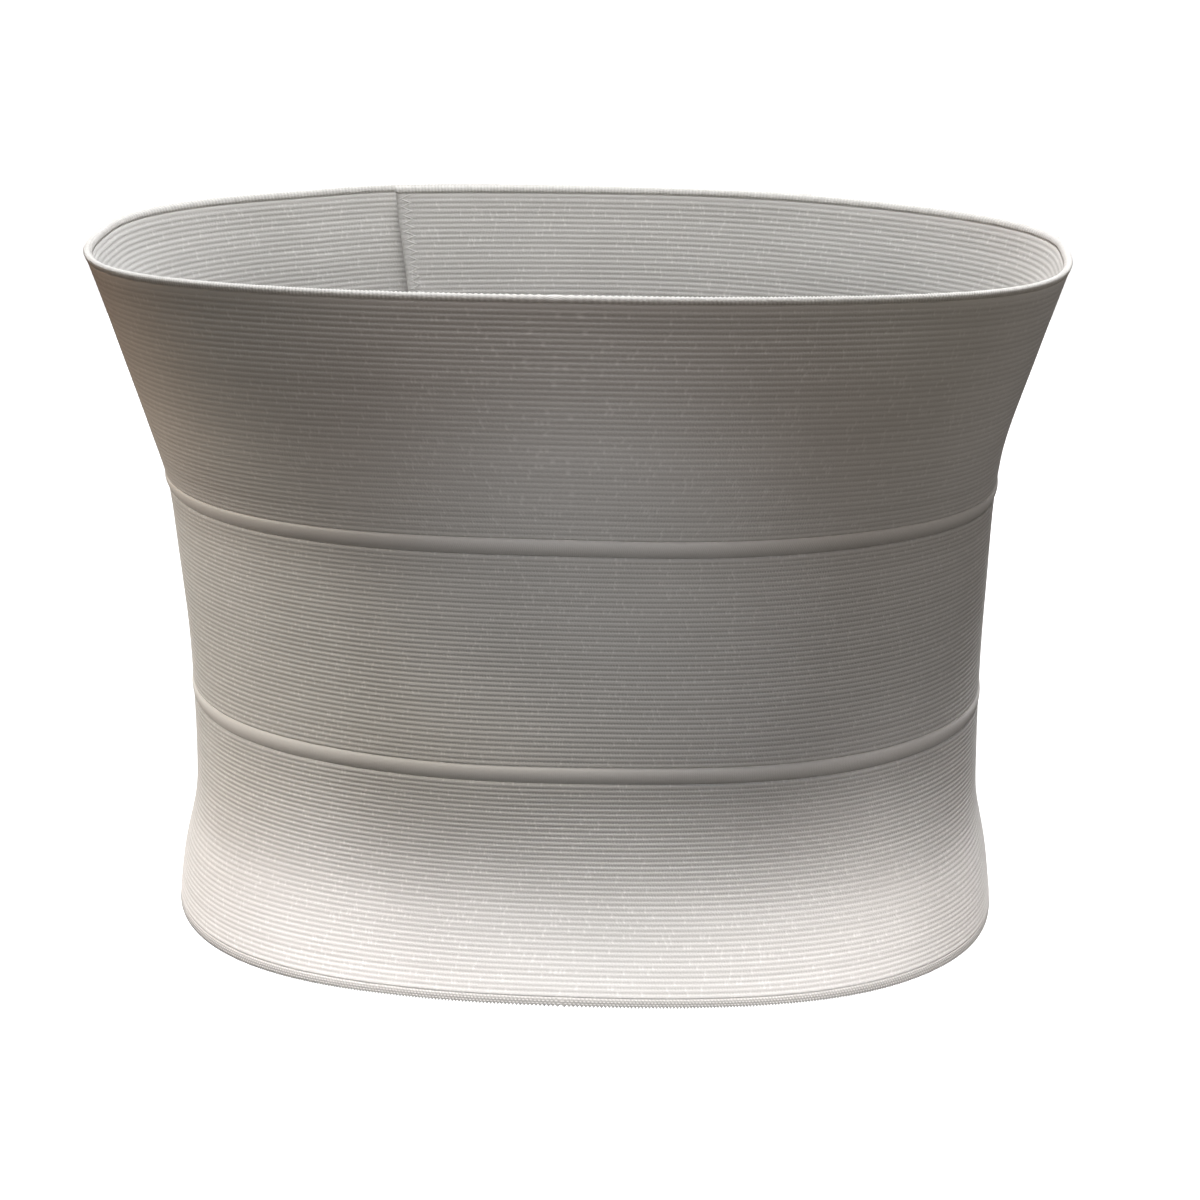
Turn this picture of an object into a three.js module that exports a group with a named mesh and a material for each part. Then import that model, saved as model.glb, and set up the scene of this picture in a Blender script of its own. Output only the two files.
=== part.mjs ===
// Abdominal binder of three knitted elastic panels, in the shape that it takes when it is worn.
// Millimetres, +Z up, with the front facing -Y. The origin is on the ring's upright axis at half
// height, and heights in this file are counted from the lower edge.
import * as THREE from "three";

// Driving sizes
const PANEL_COUNT = 3;
const PANEL_HEIGHT = 75; // middle of one join to the middle of the next
const JOIN_HEIGHT = 5.4; // a soft plain strip between two panels
const TOP_EDGE_HEIGHT = 2.2;
const BOTTOM_EDGE_HEIGHT = 3.2;
const CLOTH_WALL = 1.8;
const JOIN_PROUD = 0.6; // how far a strip's roll stands out of the cloth
const EDGE_PROUD = 0.3; // how far the bound upper edge stands out on both sides
const WAIST_HALF_WIDTH = 127.4;
const FRONT_REACH = 122; // from the axis to the front, at the upper edge
const BACK_REACH = 102; // from the axis to the back, at the lower edge
const OVERLAP = 120; // length of the outer end that lies over the inner end
const RAMP = 32; // length over which the outer end climbs onto the inner end
const TAPE_WIDTH = 50;
const TAPE_WALL = 1.2;
const TAPE_INSET = 8; // from the outer end to the tape
const TAPE_MARGIN = 6; // from the upper and lower edges to the tape
const CLEARANCE = 0.3; // between pieces that touch on the real binder
const COLUMN_COUNT = 90; // steps along the band
const PANEL_ROWS = [5, 4, 4]; // from the lowest panel up, which flares the most

const HEIGHT = PANEL_COUNT * PANEL_HEIGHT;
const LAP_LIFT = JOIN_PROUD + CLEARANCE + TAPE_WALL + CLEARANCE + CLOTH_WALL;

// The worn shape from the upper edge down. Width is a share of WAIST_HALF_WIDTH, front and widest
// are shares of FRONT_REACH, and back is a share of BACK_REACH. Widest is where the section has its
// full width, ahead of the axis, and square is the power of its rounded front.
const SECTIONS = [
  { level: 1.0, width: 1.144, front: 1.0, widest: 0.225, back: 0.667, square: 3.2 },
  { level: 0.88, width: 1.075, front: 0.985, widest: 0.22, back: 0.608, square: 3.1 },
  { level: 0.76, width: 1.02, front: 0.955, widest: 0.185, back: 0.57, square: 2.85 },
  { level: 0.667, width: 1.009, front: 0.908, widest: 0.1, back: 0.56, square: 2.4 },
  { level: 0.58, width: 1.004, front: 0.852, widest: 0.025, back: 0.57, square: 2.35 },
  { level: 0.45, width: 1.0, front: 0.783, widest: -0.068, back: 0.63, square: 2.35 },
  { level: 0.333, width: 0.999, front: 0.748, widest: -0.122, back: 0.708, square: 2.4 },
  { level: 0.25, width: 0.999, front: 0.722, widest: -0.135, back: 0.778, square: 2.4 },
  { level: 0.17, width: 1.006, front: 0.706, widest: -0.142, back: 0.846, square: 2.45 },
  { level: 0.08, width: 1.04, front: 0.717, widest: -0.163, back: 0.925, square: 2.55 },
  { level: 0.0, width: 1.059, front: 0.735, widest: -0.2, back: 1.0, square: 2.6 },
];
const BACK_SQUARE = 2.2;

// One column of the table at any level: a cubic through the rows, whose slope at a row is the mean
// slope between its neighbours.
function columnAt(column, level) {
  const rows = SECTIONS;
  const slope = (i) => {
    const before = rows[Math.max(i - 1, 0)];
    const after = rows[Math.min(i + 1, rows.length - 1)];
    return (after[column] - before[column]) / (after.level - before.level);
  };
  let i = rows.findIndex((row) => row.level <= level);
  i = i < 1 ? 1 : i;
  const step = rows[i].level - rows[i - 1].level;
  const t = (level - rows[i - 1].level) / step;
  const ease = t * t * (3 - 2 * t);
  return (
    rows[i - 1][column] * (1 - ease) +
    rows[i][column] * ease +
    step * t * (1 - t) * ((1 - t) * slope(i - 1) - t * slope(i))
  );
}

// A point of the outer face at a level. The angle is 0 at the middle of the back, a quarter turn at
// the side on +X and half a turn at the front.
function ringPoint(level, angle) {
  const widest = -columnAt("widest", level) * FRONT_REACH;
  const front = -columnAt("front", level) * FRONT_REACH;
  const back = columnAt("back", level) * BACK_REACH;
  const ahead = Math.cos(angle) < 0;
  const power = 2 / (ahead ? columnAt("square", level) : BACK_SQUARE);
  const across = Math.sign(Math.sin(angle)) * Math.abs(Math.sin(angle)) ** power;
  const along = Math.abs(Math.cos(angle)) ** power;
  return new THREE.Vector3(
    columnAt("width", level) * WAIST_HALF_WIDTH * across,
    widest + ((ahead ? front : back) - widest) * along,
    level * HEIGHT,
  );
}

// The way out of the ring at a level, level with the ground.
function ringOutward(level, angle) {
  const step = 0.004;
  const run = ringPoint(level, angle + step).sub(ringPoint(level, angle - step));
  return new THREE.Vector3(-run.y, run.x, 0).normalize();
}

// Angles at equal lengths along the ring at half height, for the whole turn.
const TURN_STEPS = 720;
const arcLengths = [0];
for (let i = 1; i <= TURN_STEPS; i++) {
  const from = ringPoint(0.5, ((i - 1) / TURN_STEPS) * 2 * Math.PI);
  const to = ringPoint(0.5, (i / TURN_STEPS) * 2 * Math.PI);
  arcLengths.push(arcLengths[i - 1] + from.distanceTo(to));
}
const GIRTH = arcLengths[TURN_STEPS];

function angleAt(length) {
  const turns = Math.floor(length / GIRTH);
  const rest = length - turns * GIRTH;
  let i = arcLengths.findIndex((arc) => arc > rest);
  i = i < 1 ? TURN_STEPS : i;
  const part = (rest - arcLengths[i - 1]) / (arcLengths[i] - arcLengths[i - 1]);
  return (turns + (i - 1 + part) / TURN_STEPS) * 2 * Math.PI;
}

// The band starts half an overlap before the middle of the back, goes once round by +X and the
// front, and laps over its own start.
const BAND_START = -OVERLAP / 2;
const BAND_END = GIRTH + OVERLAP / 2;

function liftAt(length) {
  const climb = (length - (GIRTH + BAND_START - RAMP)) / RAMP;
  const t = Math.min(Math.max(climb, 0), 1);
  return LAP_LIFT * t * t * (3 - 2 * t);
}

// A point of the band: length along it, height from the ground and depth below its outer face.
function bandPoint(length, height, depth) {
  const angle = angleAt(length);
  const level = height / HEIGHT;
  const outward = ringOutward(level, angle).multiplyScalar(liftAt(length) - depth);
  return ringPoint(level, angle).add(outward);
}

// A sorted list from low to high, with the marks that lie between them.
function between(low, high, marks) {
  return [low, ...marks.filter((mark) => mark > low && mark < high), high].sort((a, b) => a - b);
}

// Where the band has its columns and its rows. The tape's own edges are among them, so that the two
// faces that meet have the same facets.
const TAPE_FROM = BAND_END - TAPE_INSET - TAPE_WIDTH;
const TAPE_TO = BAND_END - TAPE_INSET;
const COLUMNS = [TAPE_FROM, TAPE_TO];
for (let i = 1; i < COLUMN_COUNT; i++) {
  COLUMNS.push(BAND_START + ((BAND_END - BAND_START) * i) / COLUMN_COUNT);
}
const ROWS = [TAPE_MARGIN, HEIGHT - TAPE_MARGIN];
for (let panel = 0; panel < PANEL_COUNT; panel++) {
  for (let row = 1; row < PANEL_ROWS[panel]; row++) {
    ROWS.push((panel + row / PANEL_ROWS[panel]) * PANEL_HEIGHT);
  }
  if (panel > 0) ROWS.push(panel * PANEL_HEIGHT - JOIN_HEIGHT / 2, panel * PANEL_HEIGHT + JOIN_HEIGHT / 2);
}

// A closed solid: a profile of [depth, height] corners, clockwise in that plane, carried along the
// band. It is closed at both ends by rungs between the first half of its corners and the second.
function bandSolid(profile, from, to) {
  const corners = profile.length;
  const lengths = between(from, to, COLUMNS);
  const positions = [];
  for (const length of lengths) {
    for (const [depth, height] of profile) positions.push(...bandPoint(length, height, depth).toArray());
  }
  const index = [];
  for (let i = 0; i < lengths.length - 1; i++) {
    for (let k = 0; k < corners; k++) {
      const a = i * corners + k;
      const b = i * corners + ((k + 1) % corners);
      index.push(a, b, a + corners, b, b + corners, a + corners);
    }
  }
  const last = (lengths.length - 1) * corners;
  for (let k = 0; k < corners / 2 - 1; k++) {
    const a = k;
    const b = k + 1;
    const c = corners - 2 - k;
    const d = corners - 1 - k;
    index.push(a, c, b, a, d, c);
    index.push(last + a, last + b, last + c, last + a, last + c, last + d);
  }
  const geometry = new THREE.BufferGeometry();
  geometry.setAttribute("position", new THREE.Float32BufferAttribute(positions, 3));
  geometry.setIndex(index);
  geometry.computeVertexNormals();
  return geometry;
}

// Corners of a plain wall between two heights.
function wallProfile(low, high, outerDepth, innerDepth) {
  const heights = between(low, high, ROWS);
  return [
    ...heights.map((height) => [outerDepth, height]),
    ...heights.reverse().map((height) => [innerDepth, height]),
  ];
}

// Corners of a strip whose outer face is a soft roll.
function rollProfile(low, high, proud) {
  const height = high - low;
  return [
    [0, low],
    [-proud, low + height * 0.3],
    [-proud, high - height * 0.3],
    [0, high],
    [CLOTH_WALL, high],
    [CLOTH_WALL, low],
  ];
}

// Corners of a bound edge, rounded at its free side.
function beadProfile(seat, rim, proud) {
  const shoulder = seat + (rim - seat) * 0.55;
  const corners = [
    [0, seat],
    [-proud, shoulder],
    [CLOTH_WALL * 0.3, rim],
    [CLOTH_WALL * 0.7, rim],
    [CLOTH_WALL + proud, shoulder],
    [CLOTH_WALL, seat],
  ];
  return rim > seat ? corners : corners.reverse();
}

const whiteKnit = new THREE.MeshStandardMaterial({ color: 0xefece6, roughness: 0.95, metalness: 0 });
const softWhite = new THREE.MeshStandardMaterial({ color: 0xf3f0ea, roughness: 0.85, metalness: 0 });
const tapeWhite = new THREE.MeshStandardMaterial({ color: 0xe4e2dc, roughness: 0.7, metalness: 0 });

const binder = new THREE.Group();
binder.name = "abdominal_binder";
binder.position.z = -HEIGHT / 2;

function addPiece(name, profile, material, from = BAND_START, to = BAND_END) {
  const mesh = new THREE.Mesh(bandSolid(profile, from, to), material);
  mesh.name = name;
  binder.add(mesh);
}

// Panels, from the lowest up
["lower_panel", "middle_panel", "upper_panel"].forEach((name, i) => {
  const seam = JOIN_HEIGHT / 2 + CLEARANCE;
  const low = i === 0 ? BOTTOM_EDGE_HEIGHT + CLEARANCE : i * PANEL_HEIGHT + seam;
  const top = HEIGHT - TOP_EDGE_HEIGHT - CLEARANCE;
  const high = i === PANEL_COUNT - 1 ? top : (i + 1) * PANEL_HEIGHT - seam;
  addPiece(name, wallProfile(low, high, 0, CLOTH_WALL), whiteKnit);
});

// Plain strips between the panels
["lower_join_strip", "upper_join_strip"].forEach((name, i) => {
  const middle = (i + 1) * PANEL_HEIGHT;
  addPiece(name, rollProfile(middle - JOIN_HEIGHT / 2, middle + JOIN_HEIGHT / 2, JOIN_PROUD), softWhite);
});

// Edges
addPiece("top_edge", beadProfile(HEIGHT - TOP_EDGE_HEIGHT, HEIGHT, EDGE_PROUD), softWhite);
addPiece("bottom_edge", beadProfile(BOTTOM_EDGE_HEIGHT, 0, 0), whiteKnit);

// Hook tape on the inner side of the outer end, between the two layers
const tapeDepth = CLOTH_WALL + CLEARANCE;
const tapeProfile = wallProfile(TAPE_MARGIN, HEIGHT - TAPE_MARGIN, tapeDepth, tapeDepth + TAPE_WALL);
addPiece("hook_tape", tapeProfile, tapeWhite, TAPE_FROM, TAPE_TO);

export default binder;
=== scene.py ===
from math import cos, pi, radians, sin

import bpy
import numpy as np
from mathutils import Matrix, Vector


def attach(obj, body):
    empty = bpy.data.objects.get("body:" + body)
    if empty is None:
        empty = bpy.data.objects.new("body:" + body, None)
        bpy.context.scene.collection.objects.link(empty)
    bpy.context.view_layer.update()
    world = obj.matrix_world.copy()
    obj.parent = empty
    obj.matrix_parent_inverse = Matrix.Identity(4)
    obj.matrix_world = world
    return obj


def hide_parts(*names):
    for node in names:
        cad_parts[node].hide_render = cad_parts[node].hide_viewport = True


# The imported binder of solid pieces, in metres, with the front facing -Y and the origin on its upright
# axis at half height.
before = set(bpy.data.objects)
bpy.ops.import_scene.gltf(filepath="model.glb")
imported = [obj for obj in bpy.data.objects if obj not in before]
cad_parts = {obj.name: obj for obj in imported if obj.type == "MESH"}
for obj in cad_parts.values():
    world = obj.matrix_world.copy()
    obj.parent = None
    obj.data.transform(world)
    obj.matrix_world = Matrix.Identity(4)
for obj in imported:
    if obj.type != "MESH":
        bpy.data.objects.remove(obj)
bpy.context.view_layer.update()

# Camera
# The view looks down on the front from a little to the right, from less than a metre away, and its
# picture leans half a degree clockwise.
VIEW_FROM = Vector((0.0671, -0.9364, 0.270))
VIEW_AZIMUTH = 0.0663
VIEW_PITCH = 0.290
VIEW_LEAN = 0.0087
PICTURE = 1200
FOCAL_PIXELS = 3049

level_right = Vector((cos(VIEW_AZIMUTH), sin(VIEW_AZIMUTH), 0))
level_ahead = Vector((-sin(VIEW_AZIMUTH), cos(VIEW_AZIMUTH), 0))
ahead = level_ahead * cos(VIEW_PITCH) - Vector((0, 0, sin(VIEW_PITCH)))
level_up = level_right.cross(ahead)
right = level_right * cos(VIEW_LEAN) + level_up * sin(VIEW_LEAN)
up = level_up * cos(VIEW_LEAN) - level_right * sin(VIEW_LEAN)
lens = bpy.data.cameras.new("camera")
lens.sensor_width = 36
lens.lens = FOCAL_PIXELS / PICTURE * lens.sensor_width
lens.clip_start = 0.05
lens.clip_end = 50
camera = bpy.data.objects.new("camera", lens)
camera.matrix_world = Matrix.LocRotScale(VIEW_FROM, Matrix((right, up, -ahead)).transposed(), None)
bpy.context.scene.collection.objects.link(camera)
bpy.context.scene.camera = camera

# Plain strips
# Two soft rolls of plain close knit join the three panels of one wide band, which goes once round
# from the back and laps over its own start. Each stands a little proud of the panels, and its sides
# sink in between their last cords.
MM = 0.001
MM_PER_METRE = 1000
PANEL_HEIGHT = 75 * MM
PANEL_COUNT = 3
JOIN_HEIGHT = 5.4 * MM
CLOTH_WALL = 1.8 * MM
JOIN_PROUD = 0.6 * MM
WAIST_HALF_WIDTH = 127.4 * MM
FRONT_REACH = 122 * MM
BACK_REACH = 102 * MM
OVERLAP = 120 * MM
RAMP = 32 * MM
TAPE_WALL = 1.2 * MM
CLEARANCE = 0.3 * MM
WANDER = ((0.28 * MM, 0.047, 9), (0.16 * MM, 0.019, -31))
SWELL = ((0.22 * MM, 0.031, 40), (0.14 * MM, 0.013, -95))
WANDER_BELOW = 20 * MM
SWELL_AFTER = 200 * MM
LEVEL_LIMITS = (-0.02, 1.01)
TURN_STEPS = 720
ANGLE_STEP = 0.004
END_ROLL = 1.4 * MM
END_DRAW = CLOTH_WALL * 0.42
HEIGHT = PANEL_COUNT * PANEL_HEIGHT
LAP_LIFT = JOIN_PROUD + CLEARANCE + TAPE_WALL + CLEARANCE + CLOTH_WALL
BACK_SQUARE = 2.2
SECTIONS = {
    "level":  (0.0, 0.08, 0.17, 0.25, 0.333, 0.45, 0.58, 0.667, 0.76, 0.88, 1.0),
    "width":  (1.059, 1.04, 1.006, 0.999, 0.999, 1.0, 1.004, 1.009, 1.02, 1.075, 1.144),
    "front":  (0.735, 0.717, 0.706, 0.722, 0.748, 0.783, 0.852, 0.908, 0.955, 0.985, 1.0),
    "widest": (-0.2, -0.163, -0.142, -0.135, -0.122, -0.068, 0.025, 0.1, 0.185, 0.22, 0.225),
    "back":   (1.0, 0.925, 0.846, 0.778, 0.708, 0.63, 0.57, 0.56, 0.57, 0.608, 0.667),
    "square": (2.6, 2.55, 2.45, 2.4, 2.4, 2.35, 2.35, 2.4, 2.85, 3.1, 3.2),
}


def column_at(column, level):
    """A column of the sections at any levels: a cubic between two rows, whose slope at a row is the
    slope from the row before it to the row after it."""
    rows, values = np.array(SECTIONS["level"]), np.array(SECTIONS[column])
    slope = np.empty_like(values)
    slope[1:-1] = (values[2:] - values[:-2]) / (rows[2:] - rows[:-2])
    slope[0] = (values[1] - values[0]) / (rows[1] - rows[0])
    slope[-1] = (values[-1] - values[-2]) / (rows[-1] - rows[-2])
    i = np.clip(np.searchsorted(rows, level, side="right") - 1, 0, len(rows) - 2)
    step = rows[i + 1] - rows[i]
    t = (level - rows[i]) / step
    ease = t * t * (3 - 2 * t)
    bend = step * t * (1 - t) * ((1 - t) * slope[i] - t * slope[i + 1])
    return values[i] * (1 - ease) + values[i + 1] * ease + bend


def ring(level, angle):
    """x and y of the outer face: a superellipse with the section's half width, its own reach ahead of
    and behind the widest line, and a front that is squarer than the back."""
    widest = -column_at("widest", level) * FRONT_REACH
    front = -column_at("front", level) * FRONT_REACH
    back = column_at("back", level) * BACK_REACH
    turned_front = np.cos(angle) < 0
    power = 2 / np.where(turned_front, column_at("square", level), BACK_SQUARE)
    across = np.sign(np.sin(angle)) * np.abs(np.sin(angle)) ** power
    along = np.abs(np.cos(angle)) ** power
    x = column_at("width", level) * WAIST_HALF_WIDTH * across
    return x, widest + (np.where(turned_front, front, back) - widest) * along


turn = np.linspace(0, 2 * pi, TURN_STEPS + 1)
mid_x, mid_y = ring(np.full(TURN_STEPS + 1, 0.5), turn)
arc = np.concatenate([[0], np.cumsum(np.hypot(np.diff(mid_x), np.diff(mid_y)))])
GIRTH = float(arc[-1])
BAND_START = -OVERLAP / 2
BAND_END = GIRTH + OVERLAP / 2


def smooth(t):
    """0 to 1 with a level start and finish."""
    t = np.clip(t, 0, 1)
    return t * t * (3 - 2 * t)


def ripple(waves, length, height):
    """The sum of size times the sine of length over reach plus height times slant."""
    return sum(size * np.sin(length / reach + height * slant) for size, reach, slant in waves)


def band(length, height, depth):
    """Points of the worn band: length along it, height above its lower edge and depth under its outer
    face. The rows wander by less than half a millimetre, as a stretched knit does, and the face swells
    by as little. The lap climbs onto the layer below with a smooth start and finish."""
    wander = ripple(WANDER, length, height) * smooth(height / WANDER_BELOW)
    swell = ripple(SWELL, length, height) * smooth((length - BAND_START) / SWELL_AFTER)
    level = np.clip((height + wander) / HEIGHT, *LEVEL_LIMITS)
    turns = np.floor(length / GIRTH)
    angle = 2 * pi * turns + np.interp(length - turns * GIRTH, arc, turn)
    x, y = ring(level, angle)
    x_after, y_after = ring(level, angle + ANGLE_STEP)
    x_before, y_before = ring(level, angle - ANGLE_STEP)
    run_x, run_y = x_after - x_before, y_after - y_before
    run = np.hypot(run_x, run_y)
    lift = LAP_LIFT * smooth((length - (GIRTH + BAND_START - RAMP)) / RAMP)
    out = lift + swell * (lift < 1e-9) - depth
    z = level * HEIGHT - HEIGHT / 2
    return np.stack([x - out * run_y / run, y + out * run_x / run, z], axis=-1)


COLUMN_STEP = 3.05 * MM
HEM_COLUMNS = np.array([0, 0.35, 0.9, 1.8, 2.8, 4.2, 6.0]) * MM
HEM_GAP = 1.5 * MM
inner_hem = BAND_START + HEM_COLUMNS
outer_hem = (BAND_END - HEM_COLUMNS)[::-1]
plain_columns = np.arange(inner_hem[-1] + COLUMN_STEP, outer_hem[0] - HEM_GAP, COLUMN_STEP)
cloth_columns = np.concatenate([inner_hem, plain_columns, outer_hem])[:, None]


def end_distance(length):
    """Distance to the nearer end of the band."""
    return np.minimum(length - BAND_START, BAND_END - length)


def rolled_over(length):
    """How far the cloth's faces draw in at an end, where the cut edge is rounded off: about four
    tenths of the wall at the very end, and nothing from END_ROLL on."""
    return END_DRAW * (1 - smooth(end_distance(length) / END_ROLL) ** 0.5)


def carried(name, length, height, depth, marks):
    """A closed piece of cloth: a profile of corners at each column, whose first half runs up the outer
    face and second half down the inner face. Quads join neighbouring columns, and rungs close both
    ends. The UV map holds length and height in metres, and marks are attributes of the points."""
    columns, corners = height.shape
    points = band(length, height, depth).reshape(-1, 3)
    first = np.arange(columns - 1)[:, None] * corners
    corner = np.arange(corners)[None, :]
    a = (first + corner).ravel()
    b = (first + (corner + 1) % corners).ravel()
    sides = np.stack([a, b, b + corners, a + corners], axis=1)
    rung = np.arange(corners // 2 - 1)
    cap = np.stack([rung, corners - 1 - rung, corners - 2 - rung, rung + 1], axis=1)
    faces = np.concatenate([sides, cap, cap[:, ::-1] + (columns - 1) * corners])
    mesh = bpy.data.meshes.new(name)
    mesh.vertices.add(len(points))
    mesh.vertices.foreach_set("co", points.astype(np.float32).ravel())
    mesh.loops.add(faces.size)
    mesh.loops.foreach_set("vertex_index", faces.astype(np.int32).ravel())
    mesh.polygons.add(len(faces))
    mesh.polygons.foreach_set("loop_start", np.arange(0, faces.size, 4, dtype=np.int32))
    mesh.polygons.foreach_set("use_smooth", np.ones(len(faces), dtype=bool))
    mesh.update(calc_edges=True)
    uv = np.stack([np.broadcast_to(length, height.shape), height], axis=-1).reshape(-1, 2)
    uv = uv[faces.ravel()].astype(np.float32).ravel()
    mesh.uv_layers.new(name="cloth").data.foreach_set("uv", uv)
    for mark, values in marks.items():
        layer = mesh.attributes.new(mark, "FLOAT", "POINT")
        values = np.broadcast_to(values, height.shape).astype(np.float32).ravel()
        layer.data.foreach_set("value", values)
    piece = bpy.data.objects.new(name, mesh)
    bpy.context.scene.collection.objects.link(piece)
    return piece


class Shade:
    """A socket of a material. Arithmetic on it adds Math nodes, and add() adds any other node."""

    def __init__(self, tree, socket=None):
        self.tree = tree
        self.socket = socket

    def add(self, kind, settings=None, inputs=None, output=0):
        """A node: its kind, its settings, the values or links of its inputs, and which output to take."""
        node = self.tree.nodes.new("ShaderNode" + kind)
        for name, value in (settings or {}).items():
            setattr(node, name, value)
        for name, value in (inputs or {}).items():
            if isinstance(value, Shade):
                self.tree.links.new(value.socket, node.inputs[name])
            else:
                node.inputs[name].default_value = value
        return Shade(self.tree, node.outputs[output])

    def math(self, operation, first, second=0.0):
        """One Math node, whose inputs are sockets or numbers."""
        return self.add("Math", {"operation": operation}, {0: first, 1: second})

    def __add__(self, other):
        return self.math("ADD", self, other)

    def __radd__(self, other):
        return self.math("ADD", other, self)

    def __sub__(self, other):
        return self.math("SUBTRACT", self, other)

    def __rsub__(self, other):
        return self.math("SUBTRACT", other, self)

    def __mul__(self, other):
        return self.math("MULTIPLY", self, other)

    def __rmul__(self, other):
        return self.math("MULTIPLY", other, self)

    def __truediv__(self, other):
        return self.math("DIVIDE", self, other)

    def wave(self):
        """0 to 1 and back once for each whole number: half of one less the cosine of a full turn."""
        return self.math("COSINE", self * (2 * pi)) * -0.5 + 0.5

    def ramp(self, low, high):
        """0 below low and 1 above high, with a smooth way between."""
        soft = {"interpolation_type": "SMOOTHSTEP"}
        return self.add("MapRange", soft, {"Value": self, 1: low, 2: high})

    def tint(self, dark, light):
        """dark where it is 0 and light where it is 1."""
        return self.add("Mix", {"data_type": "RGBA"}, {0: self, 6: (*dark, 1), 7: (*light, 1)}, 2)


def cloth_material(name, color, roughness, sheen, finish):
    """A matte cloth. finish(pen, along, up_cloth, place) gives its colour and its height in metres.
    The places that it is given are in millimetres, and so are the pitches of the finishes."""
    material = bpy.data.materials.new(name)
    material.use_nodes = True
    material.diffuse_color = (*color, 1)
    tree = material.node_tree
    shader = tree.nodes["Principled BSDF"]
    shader.inputs["Roughness"].default_value = roughness
    shader.inputs["Specular IOR Level"].default_value = 0.25
    shader.inputs["Sheen Weight"].default_value = sheen
    shader.inputs["Sheen Roughness"].default_value = 0.6
    pen = Shade(tree)
    uv = pen.add("UVMap", {"uv_map": "cloth"})
    along = pen.add("SeparateXYZ", {}, {0: uv}, 0) * MM_PER_METRE
    up_cloth = pen.add("SeparateXYZ", {}, {0: uv}, 1) * MM_PER_METRE
    place = pen.add("CombineXYZ", {}, {0: along, 1: up_cloth})
    tone, relief = finish(pen, along, up_cloth, place)
    bump = pen.add("Bump", {}, {"Strength": 1.0, "Distance": 1.0, "Height": relief})
    tree.links.new(tone.socket, shader.inputs["Base Color"])
    tree.links.new(bump.socket, shader.inputs["Normal"])
    return material


STRIP_ROWS = 12
STRIP_SEAT = 0.5 * MM
STRIP_RISE = JOIN_PROUD + 0.45 * MM
STRIP_HOLLOW = 0.25 * MM
WALE_PITCH = 0.55
LOOP_PITCH = 0.95
STRIP_LIGHT = (0.95, 0.935, 0.91)
STRIP_DARK = (0.50, 0.49, 0.47)


def strip(name, middle):
    """A roll: its outer face rises from under the cloth as half an ellipse across the strip's height,
    fullest two thirds of the way up, and its inner face is nearly flat."""
    share = np.linspace(0, 1, STRIP_ROWS + 1)
    swell = np.sqrt(np.clip(1 - (2 * share**1.6 - 1) ** 2, 0, 1)) ** 0.9
    height = middle + JOIN_HEIGHT * (share - 0.5)
    drawn_in = rolled_over(cloth_columns)
    outer = STRIP_SEAT - STRIP_RISE * swell[None, :] + drawn_in
    inner = CLOTH_WALL - STRIP_HOLLOW * (1 - swell[None, ::-1]) - drawn_in
    depth = np.concatenate([outer, inner], axis=1)
    heights = np.broadcast_to(np.concatenate([height, height[::-1]])[None, :], depth.shape)
    marks = {"across": np.concatenate([share, share[::-1]])[None, :]}
    return carried(name, cloth_columns, heights, depth, marks)


def close_knit(pen, along, up_cloth, place):
    """Very fine stitches in upright wales, with fuzz, painted light from above that makes the roll
    lighter towards its top and darker towards its foot, and a thin painted shadow where the strip
    meets the cords. Light loops of the panel above reach a little way down over it."""
    across = pen.add("Attribute", {"attribute_name": "across"}, {}, 2)
    wale = (along / WALE_PITCH + (up_cloth / 0.7).wave() * 0.25).wave()
    fuzz = pen.add("TexNoise", {}, {"Vector": place, "Scale": 1.7, "Detail": 4.0})
    cloudy = pen.add("TexNoise", {}, {"Vector": place, "Scale": 0.06, "Detail": 2.0})
    # Painted light and shade: the roll is lighter towards its top and darker towards its foot, as under
    # light from above, and a painted shadow darkens both its sides where it meets the cords.
    side = pen.math("ABSOLUTE", across - 0.5)
    rise = across.ramp(0.0, 0.85)
    light = rise * 0.85 + fuzz * 0.16 + cloudy * 0.14 + wale * 0.05 - side.ramp(0.44, 0.5) * 0.25
    loops = across + (along / LOOP_PITCH).wave() * 0.09 + (fuzz - 0.5) * 0.45
    light = light + loops.ramp(0.9, 0.97) * 0.32
    return light.tint(STRIP_DARK, STRIP_LIGHT), wale * (0.03 * MM) + fuzz * (0.08 * MM)


plain_knit = cloth_material("plain_close_knit", STRIP_LIGHT, 0.9, 0.3, close_knit)
strip_middles = {"lower_join_strip": PANEL_HEIGHT, "upper_join_strip": 2 * PANEL_HEIGHT}
for node, middle in strip_middles.items():
    cloth = strip("plain_" + node, middle)
    cloth.data.materials.append(plain_knit)
    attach(cloth, "root")
    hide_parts(node)

# Top edge
# The upper edge is bound off in a round bright roll of thread, with a small tooth at each stitch. It
# closes the last row of the upper panel and stands a little proud of it on both sides.
TOP_EDGE_HEIGHT = 2.2 * MM
ROLL_CORNERS = 8
ROLL_REACH = CLOTH_WALL * 0.64
ROLL_UPRIGHT = 0.86
TOOTH_LIFT = 0.28 * MM
TOOTH_PITCH = 0.95 * MM
COLUMNS_PER_TOOTH = 4
STRAND_PITCH = 0.32
tooth_count = int(round((BAND_END - BAND_START) / TOOTH_PITCH))
edge_columns = np.linspace(BAND_START, BAND_END, tooth_count * COLUMNS_PER_TOOTH + 1)[:, None]
edge_tooth = 0.5 - 0.5 * np.cos(2 * pi * np.arange(len(edge_columns)) / COLUMNS_PER_TOOTH)[:, None]
EDGE_LIGHT = (0.94, 0.925, 0.90)
EDGE_DARK = (0.62, 0.605, 0.58)


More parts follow.
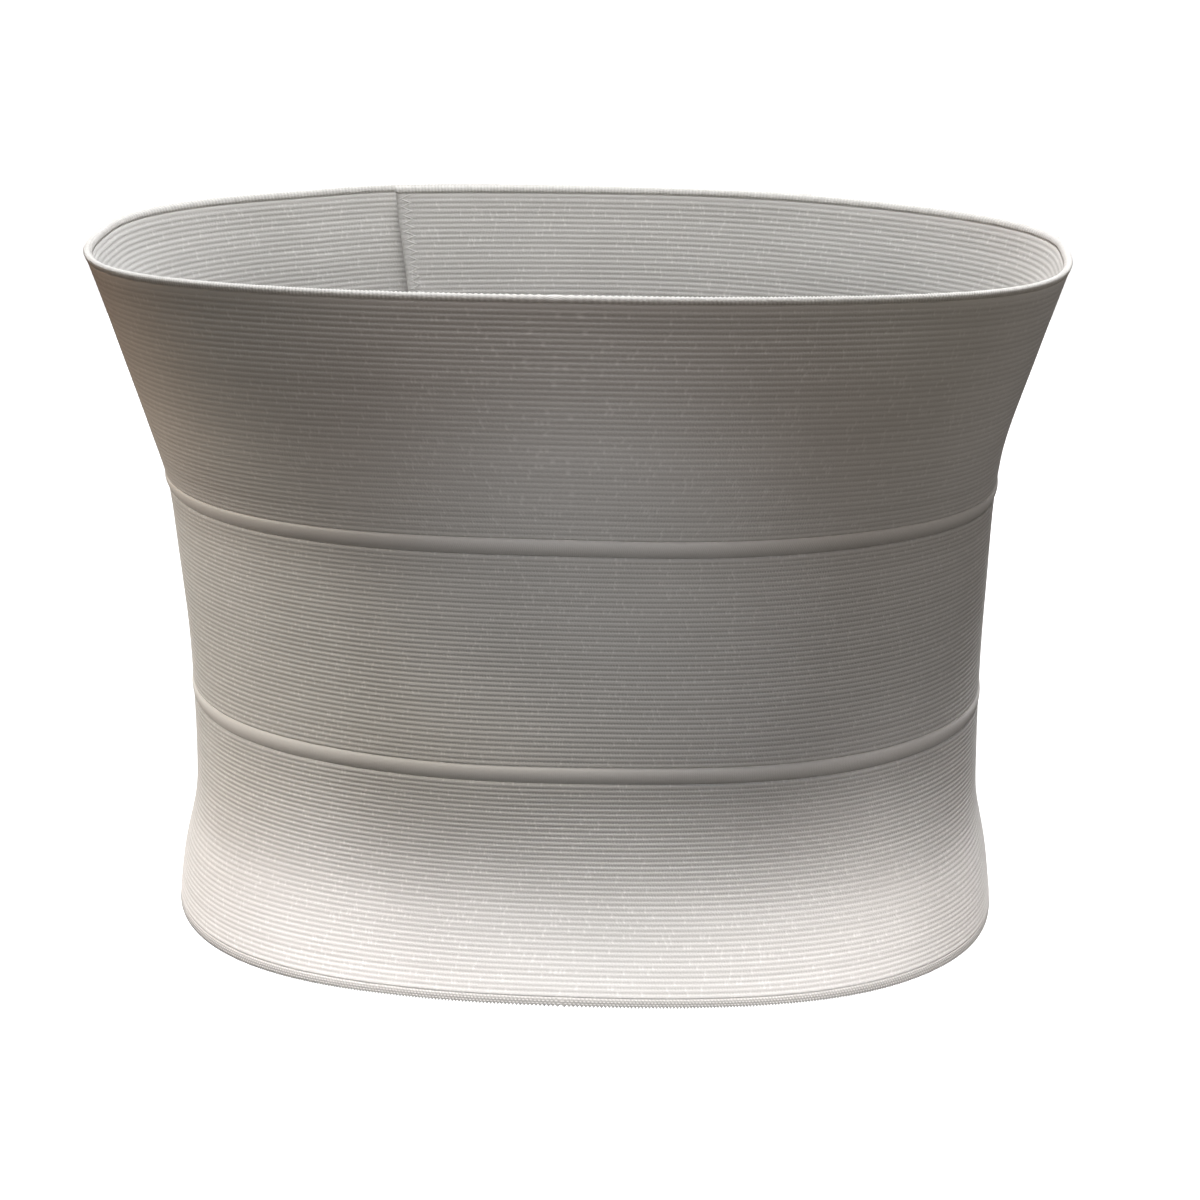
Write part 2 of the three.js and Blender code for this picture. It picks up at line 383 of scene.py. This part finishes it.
def top_roll(name):
    """Corners round a profile two millimetres high, half an ellipse above its middle and nearly
    upright below it, which each stitch widens and lifts."""
    turned = 2 * pi * (np.arange(ROLL_CORNERS) + 0.5)[None, :] / ROLL_CORNERS
    side, rise = -np.sin(turned), -np.cos(turned)
    side = np.where(rise < 0, np.sign(side) * np.maximum(np.abs(side), ROLL_UPRIGHT), side)
    wide = ROLL_REACH * (0.88 + 0.2 * edge_tooth)
    tall = TOP_EDGE_HEIGHT * 0.5
    middle = HEIGHT - TOP_EDGE_HEIGHT - CLEARANCE * 0.2 + tall
    height = middle + rise * tall + (rise > 0.5) * TOOTH_LIFT * (edge_tooth - 0.6)
    depth = CLOTH_WALL / 2 + side * wide
    return carried(name, edge_columns, height, depth, {"tooth": edge_tooth})


def bound_off(pen, along, up_cloth, place):
    """Bright thread: a sum of the tooth, the strands, fuzz and brighter and duller places."""
    tooth = pen.add("Attribute", {"attribute_name": "tooth"}, {}, 2)
    strand = (along / STRAND_PITCH + up_cloth / 0.5).wave()
    fuzz = pen.add("TexNoise", {}, {"Vector": place, "Scale": 2.0, "Detail": 3.0})
    bright = pen.add("TexNoise", {}, {"Vector": place, "Scale": 0.45, "Detail": 2.0})
    light = tooth * 0.45 + strand * 0.15 + fuzz * 0.3 + (bright - 0.5) * 0.9 + 0.2
    return light.tint(EDGE_DARK, EDGE_LIGHT), strand * (0.06 * MM) + fuzz * (0.16 * MM)


binding = cloth_material("bright_edge_thread", EDGE_LIGHT, 0.85, 0.3, bound_off)
roll = top_roll("bound_top_edge")
roll.data.materials.append(binding)
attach(roll, "root")
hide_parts("top_edge")

# Bottom edge
# The lower edge is a narrow close-knitted selvedge without cords, whose stitches end in small even
# teeth.
BOTTOM_EDGE_HEIGHT = 3.2 * MM
COURSE_PITCH = 0.8
SELVEDGE_LIGHT = (0.80, 0.785, 0.765)
SELVEDGE_DARK = (0.27, 0.262, 0.25)


def bottom_selvedge(name):
    """Five rows up each face of a thin wall, whose lowest rows rise and fall with the teeth."""
    share = np.array([0.0, 0.06, 0.2, 0.6, 1.028])[None, :]
    notch = np.array([0.8, 0.75, 0.4, 0.0, 0.0])[None, :] * MM
    height = BOTTOM_EDGE_HEIGHT * share + notch * edge_tooth
    thin = np.array([0.5, 0.26, 0.16, 0.12, 0.17])[None, :] * MM
    drawn_in = rolled_over(edge_columns) * 0.5
    outer = thin + drawn_in - 0.05 * MM * edge_tooth
    inner = CLOTH_WALL - thin[:, ::-1] - drawn_in
    depth = np.concatenate([outer, inner], axis=1)
    heights = np.concatenate([height, height[:, ::-1]], axis=1)
    return carried(name, edge_columns, heights, depth, {"tooth": edge_tooth})


def selvedge_knit(pen, along, up_cloth, place):
    """Rows of close stitches: a wave along the edge times a wave up it, each row half a stitch on
    from the last. The rows by the cords are lighter."""
    course = up_cloth / COURSE_PITCH
    row = pen.math("FLOOR", course)
    stitch = (along / (TOOTH_PITCH / MM) + row * 0.5 + 0.5).wave() * course.wave()
    fuzz = pen.add("TexNoise", {}, {"Vector": place, "Scale": 2.2, "Detail": 3.0})
    light = stitch * 0.75 + fuzz * 0.4 + 0.12 + up_cloth.ramp(2.3, 3.1) * 0.4
    return light.tint(SELVEDGE_DARK, SELVEDGE_LIGHT), stitch * (0.18 * MM) + fuzz * (0.06 * MM)


selvedge = cloth_material("selvedge_knit", SELVEDGE_LIGHT, 0.92, 0.25, selvedge_knit)
foot = bottom_selvedge("toothed_bottom_edge")
foot.data.materials.append(selvedge)
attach(foot, "root")
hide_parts("bottom_edge")

# Ribbed panels
# Three panels of white knitted elastic, each of 43 level cords of covered rubber thread 1.6 mm apart,
# knitted over with small slanted stitches. At both ends of the band the cords are pressed flat under a
# zigzag stitch.
RIBS_PER_PANEL = 43
RIB_ROWS = 4
RIB_RELIEF = 0.34 * MM
INNER_RIB_RELIEF = 0.24 * MM
UPPER_PULL = 0.6
UPPER_FROM = 90 * MM
UPPER_TO = 190 * MM
LOWER_PULL = 0.5
LOWER_FROM = 62 * MM
LOWER_TO = 18 * MM
HEM = 6 * MM
STITCH_PITCH = 0.9
ZIGZAG_RISE = 1.3
KNIT_LIGHT = (0.90, 0.89, 0.87)
KNIT_DARK = (0.52, 0.51, 0.49)


def panel(name, low, high):
    """Cords across a panel's height. Each is half an ellipse over its pitch, on the outer face and less
    deeply on the inner one. The pull of the cloth flattens them towards the top and towards the
    foot, and they sink to a quarter at the hem."""
    count = RIBS_PER_PANEL * RIB_ROWS
    rib = np.arange(count + 1) / RIB_ROWS
    crest = np.sqrt(np.clip(1 - (2 * (rib % 1) - 1) ** 2, 0, 1))
    height = low + (high - low) * rib / RIBS_PER_PANEL
    pressed = 0.25 + 0.75 * smooth((end_distance(cloth_columns) - 1 * MM) / HEM)
    pulled = 1 - UPPER_PULL * smooth((height - UPPER_FROM) / (UPPER_TO - UPPER_FROM))
    pulled *= 1 - LOWER_PULL * smooth((LOWER_FROM - height) / (LOWER_FROM - LOWER_TO))
    drawn_in = rolled_over(cloth_columns)
    outer = RIB_RELIEF * (0.5 - crest)[None, :] * pulled[None, :] * pressed + drawn_in
    valley = INNER_RIB_RELIEF * (1 - crest[None, ::-1]) * pulled[None, ::-1]
    inner = CLOTH_WALL - valley * pressed - drawn_in
    depth = np.concatenate([outer, inner], axis=1)
    heights = np.broadcast_to(np.concatenate([height, height[::-1]])[None, :], depth.shape)
    marks = {
        "rib": np.concatenate([rib, rib[::-1]])[None, :],
        "end": end_distance(cloth_columns) * MM_PER_METRE,
    }
    return carried(name, cloth_columns, heights, depth, marks)


def knitted(pen, along, up_cloth, place):
    """Smooth crests between narrow grooves, which slanted stitches cross in spots that step half a
    stitch from cord to cord. The grooves are darkened with painted shade, less where the pull flattens
    the cords and more on the middle panel, and the cords just under the top edge are lightened with
    painted light. Cords and single stitches differ a little, and a zigzag of thread runs near the ends."""
    rib = pen.add("Attribute", {"attribute_name": "rib"}, {}, 2)
    end = pen.add("Attribute", {"attribute_name": "end"}, {}, 2)
    row = pen.math("FLOOR", rib + 0.5)
    cord = pen.math("FLOOR", rib)
    valley = 1 - rib.wave().ramp(0.0, 0.8)
    flat_noise = {"noise_dimensions": "2D"}
    drift = pen.add("TexNoise", flat_noise, {"Vector": place, "Scale": 0.22, "Detail": 1.0})
    step = along / STITCH_PITCH + row * 0.5 + drift * 1.5
    stitch = step.wave()
    cell = pen.add("CombineXYZ", {}, {0: pen.math("FLOOR", step), 1: row})
    chance = pen.add("TexWhiteNoise", flat_noise, {"Vector": cell})
    cord_tone = pen.add("TexWhiteNoise", {"noise_dimensions": "1D"}, {"W": cord})
    cloudy = pen.add("TexNoise", {}, {"Vector": place, "Scale": 0.035, "Detail": 3.0})
    fuzz = pen.add("TexNoise", {}, {"Vector": place, "Scale": 1.9, "Detail": 3.0, "Roughness": 0.7})
    zigzag = pen.math("ABSOLUTE", pen.math("PINGPONG", up_cloth, ZIGZAG_RISE) * 2.0 + 1.2 - end)
    thread = (1 - zigzag.ramp(0.25, 0.6)) * (1 - end.ramp(4.4, 4.8))
    near_top = 1 - up_cloth.ramp(UPPER_FROM / MM, UPPER_TO / MM) * UPPER_PULL
    near_foot = up_cloth.ramp(LOWER_TO / MM, LOWER_FROM / MM) * LOWER_PULL + (1 - LOWER_PULL)
    pulled = near_top * near_foot
    # Painted shade in the grooves, with the stitch spots: less where the pull flattens the cords, more on
    # the middle panel, and none in the lowest rows.
    groove_shade_and_stitch_dots = valley * pulled * (0.32 + stitch * 0.08 + up_cloth.ramp(60.0, 110.0) * 0.26)
    groove_shade_and_stitch_dots = groove_shade_and_stitch_dots * up_cloth.ramp(3.0, 4.0)
    # Random lighter stitches, and painted light on the cords just under the top edge.
    flecks_and_painted_light = chance.ramp(0.86, 0.94) * stitch * 0.34 + up_cloth.ramp(219.5, 222.5) * 0.45
    uneven = (fuzz - 0.5) * 0.6 + (cloudy - 0.5) * 0.25 + (cord_tone - 0.5) * 0.14
    light = 0.79 - groove_shade_and_stitch_dots + flecks_and_painted_light + uneven
    groove = valley * pulled * (stitch * (0.04 * MM) + 0.05 * MM)
    relief = (fuzz - 0.5) * (0.1 * MM) - groove + thread * (0.2 * MM)
    return (light + thread * 0.15).tint(KNIT_DARK, KNIT_LIGHT), relief


knit = cloth_material("white_knitted_elastic", KNIT_LIGHT, 0.92, 0.25, knitted)
SEAM = JOIN_HEIGHT / 2 + CLEARANCE * 0.3
panel_edges = {
    "lower_panel": (BOTTOM_EDGE_HEIGHT + CLEARANCE * 0.3, PANEL_HEIGHT - SEAM),
    "middle_panel": (PANEL_HEIGHT + SEAM, 2 * PANEL_HEIGHT - SEAM),
    "upper_panel": (2 * PANEL_HEIGHT + SEAM, HEIGHT - TOP_EDGE_HEIGHT - CLEARANCE * 0.3),
}
for node, (low, high) in panel_edges.items():
    cloth = panel("knitted_" + node, low, high)
    cloth.data.materials.append(knit)
    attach(cloth, "root")
    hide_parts(node)
    high - low

# Hook tape
# The hidden fastening is a flat tape of fine plastic hooks, sewn to the inner side of the outer end,
# which grips the cords of the inner end.
HOOK_PITCH = 1.1 * MM
HOOK_ROW_PITCH = 1.3 * MM
TAPE_LIGHT = (0.78, 0.77, 0.74)
TAPE_DARK = (0.60, 0.59, 0.565)


def hooks(pen, place):
    """A field of small hooks: a wave along x times a wave up z, with a little fuzz."""
    along = pen.add("SeparateXYZ", {}, {0: place}, 0)
    height = pen.add("SeparateXYZ", {}, {0: place}, 2)
    hook = (along / HOOK_PITCH).wave() * (height / HOOK_ROW_PITCH).wave()
    fuzz = pen.add("TexNoise", {}, {"Vector": place, "Scale": 900.0, "Detail": 2.0})
    return (hook * 0.7 + fuzz * 0.3).tint(TAPE_DARK, TAPE_LIGHT), hook * (0.25 * MM)


def tape_material(name):
    """The tape keeps its solid's own mesh, so its hooks lie on Object coordinates."""
    material = bpy.data.materials.new(name)
    material.use_nodes = True
    tree = material.node_tree
    shader = tree.nodes["Principled BSDF"]
    shader.inputs["Roughness"].default_value = 0.6
    pen = Shade(tree)
    tone, relief = hooks(pen, pen.add("TexCoord", {}, {}, 3))
    bump = pen.add("Bump", {}, {"Strength": 1.0, "Distance": 1.0, "Height": relief})
    tree.links.new(tone.socket, shader.inputs["Base Color"])
    tree.links.new(bump.socket, shader.inputs["Normal"])
    return material


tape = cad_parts["hook_tape"]
tape.data.materials.clear()
tape.data.materials.append(tape_material("hook_tape_plastic"))

# Studio
# One strong light from straight overhead catches only the rim of the leaning front. Soft ones stand
# behind and level, beams with a soft upper limit reach the lowest panel and the left of the waist, and
# narrow ones reach single places. A pale floor with a wall far round it makes the background.
FAR_LIGHT_ANGLE = 0.5
BEAM_REACH = 1.4
BEAM_LAMP_RADIUS = 0.028
CLOTH_SIDE = 0.125
CLOTH_FRONT = 0.09


def toward(azimuth, elevation):
    """The direction from the binder to a light: azimuth in degrees from the front to +X."""
    around, high = radians(azimuth), radians(elevation)
    return Vector((sin(around) * cos(high), -cos(around) * cos(high), sin(high)))


def lamp(name, kind, color, watts, place, shine):
    """A light at a place that shines along a direction."""
    light = bpy.data.lights.new(name, kind)
    light.energy = watts
    light.color = color
    holder = bpy.data.objects.new(name, light)
    holder.matrix_world = Matrix.LocRotScale(place, shine.to_track_quat("-Z", "Y"), None)
    bpy.context.scene.collection.objects.link(holder)
    return light


def far_light(name, azimuth, elevation, strength, color):
    """Soft light from one direction, as from a broad panel far off."""
    shine = -toward(azimuth, elevation)
    lamp(name, "SUN", color, strength * pi, -2 * shine, shine).angle = FAR_LIGHT_ANGLE


def beam(name, azimuth, elevation, upper_limit, half_angle, softness, strength, color):
    """A spot whose soft upper limit meets the cloth at a height: it shines below the line to that
    place by its half angle, less half of its soft share."""
    from_cloth = toward(azimuth, elevation)
    around = radians(azimuth)
    near = Vector((sin(around) * CLOTH_SIDE, -cos(around) * CLOTH_FRONT, upper_limit))
    shine = -from_cloth
    upright = shine.cross(Vector((0, 0, 1))).normalized().cross(shine)
    dip = radians(half_angle) * (1 - softness / 2)
    watts = strength * (2 * pi * BEAM_REACH) ** 2
    place = near + from_cloth * BEAM_REACH
    light = lamp(name, "SPOT", color, watts, place, shine * cos(dip) - upright * sin(dip))
    light.spot_size = 2 * radians(half_angle)
    light.spot_blend = softness
    light.shadow_soft_size = BEAM_LAMP_RADIUS


def narrow_beam(name, azimuth, elevation, aim, half_angle, strength, color):
    """A narrow spot, soft all the way in, at one place on the cloth."""
    from_cloth = toward(azimuth, elevation)
    watts = strength * (2 * pi * BEAM_REACH) ** 2
    light = lamp(name, "SPOT", color, watts, Vector(aim) + from_cloth * BEAM_REACH, -from_cloth)
    light.spot_size = 2 * radians(half_angle)
    light.spot_blend = 1.0
    light.shadow_soft_size = BEAM_LAMP_RADIUS


far_light("overhead", 0, 90, 1.2, (1, 1, 1))
far_light("behind_left", -160, 35, 0.24, (1, 1, 1))
far_light("behind_right", 160, 35, 0.2, (1, 1, 1))
far_light("level_left", -110, 0, 0.155, (1.0, 0.52, 0.24))
far_light("level_front", 25, 0, 0.097, (1.0, 0.85, 0.67))
far_light("level_right", 110, 0, 0.066, (1.0, 0.92, 0.92))
beam("low_far_left", -40, 52, -0.074, 25, 0.035, 0.35, (1.0, 0.893, 0.89))
beam("low_left", -10, 30, -0.074, 25, 0.05, 0.405, (0.93, 0.935, 1.0))
beam("low_right", 20, 30, -0.074, 25, 0.05, 0.42, (1.0, 0.975, 0.95))
beam("low_far_right", 50, 52, -0.074, 25, 0.035, 0.27, (1.0, 0.876, 0.82))
beam("waist_left", -100, 10, 0.03, 25, 0.12, 0.26, (0.8, 0.93, 1.0))
beam("waist_front_left", -60, 40, 0.03, 25, 0.12, 0.404, (1.0, 0.933, 0.81))
narrow_beam("narrow_low_right", 40, 40, (0.075, -0.075, -0.12), 6, 0.101, (0.81, 0.88, 1.0))
narrow_beam("narrow_middle", 5, 20, (0.006, -0.11, 0.02), 3.2, 0.164, (0.88, 0.95, 1.0))
narrow_beam("narrow_upper", 5, 20, (0, -0.12, 0.05), 5, 0.041, (1.0, 0.78, 0.85))
narrow_beam("narrow_low_left", -45, 40, (-0.071, -0.079, -0.094), 1.2, 0.24, (1.0, 0.96, 0.95))
narrow_beam("narrow_low_far_right", 50, 40, (0.09, -0.069, -0.091), 1.25, 0.25, (1.0, 0.97, 0.95))
narrow_beam("narrow_waist_left", -50, 20, (-0.072, -0.09, 0.01), 1.9, 0.09, (1.0, 0.97, 0.93))

world = bpy.data.worlds.new("studio")
world.use_nodes = True
background = world.node_tree.nodes["Background"]
background.inputs["Color"].default_value = (1, 1, 1, 1)
background.inputs["Strength"].default_value = 0.05
bpy.context.scene.world = world

FLOOR_HEIGHT = -0.9
FLOOR_REACH = 5
FLOOR_SIDES = 64
WALL_TOP = 4
side = np.arange(FLOOR_SIDES)
after = (side + 1) % FLOOR_SIDES
around = 2 * pi * side / FLOOR_SIDES
floor_ring = np.stack([np.cos(around), np.sin(around), np.zeros(FLOOR_SIDES)], axis=1) * FLOOR_REACH
floor_points = np.concatenate([floor_ring + (0, 0, FLOOR_HEIGHT), floor_ring + (0, 0, WALL_TOP)])
wall_faces = np.stack([side, side + FLOOR_SIDES, after + FLOOR_SIDES, after], axis=1).tolist()
floor_faces = wall_faces + [side.tolist()]
floor_mesh = bpy.data.meshes.new("studio_floor")
floor_mesh.from_pydata(floor_points.tolist(), [], floor_faces)
floor = bpy.data.objects.new("studio_floor", floor_mesh)
floor_paint = bpy.data.materials.new("pale_floor")
floor_paint.use_nodes = True
paint = floor_paint.node_tree.nodes["Principled BSDF"].inputs
paint["Base Color"].default_value = (0.4, 0.4, 0.4, 1)
paint["Roughness"].default_value = 1.0
paint["Specular IOR Level"].default_value = 0.0
paint["Emission Color"].default_value = (1, 1, 1, 1)
paint["Emission Strength"].default_value = 1.05
floor_mesh.materials.append(floor_paint)
floor.visible_diffuse = False
floor.visible_glossy = False
floor.visible_shadow = False
bpy.context.scene.collection.objects.link(floor)
bpy.context.scene.view_settings.view_transform = "Standard"
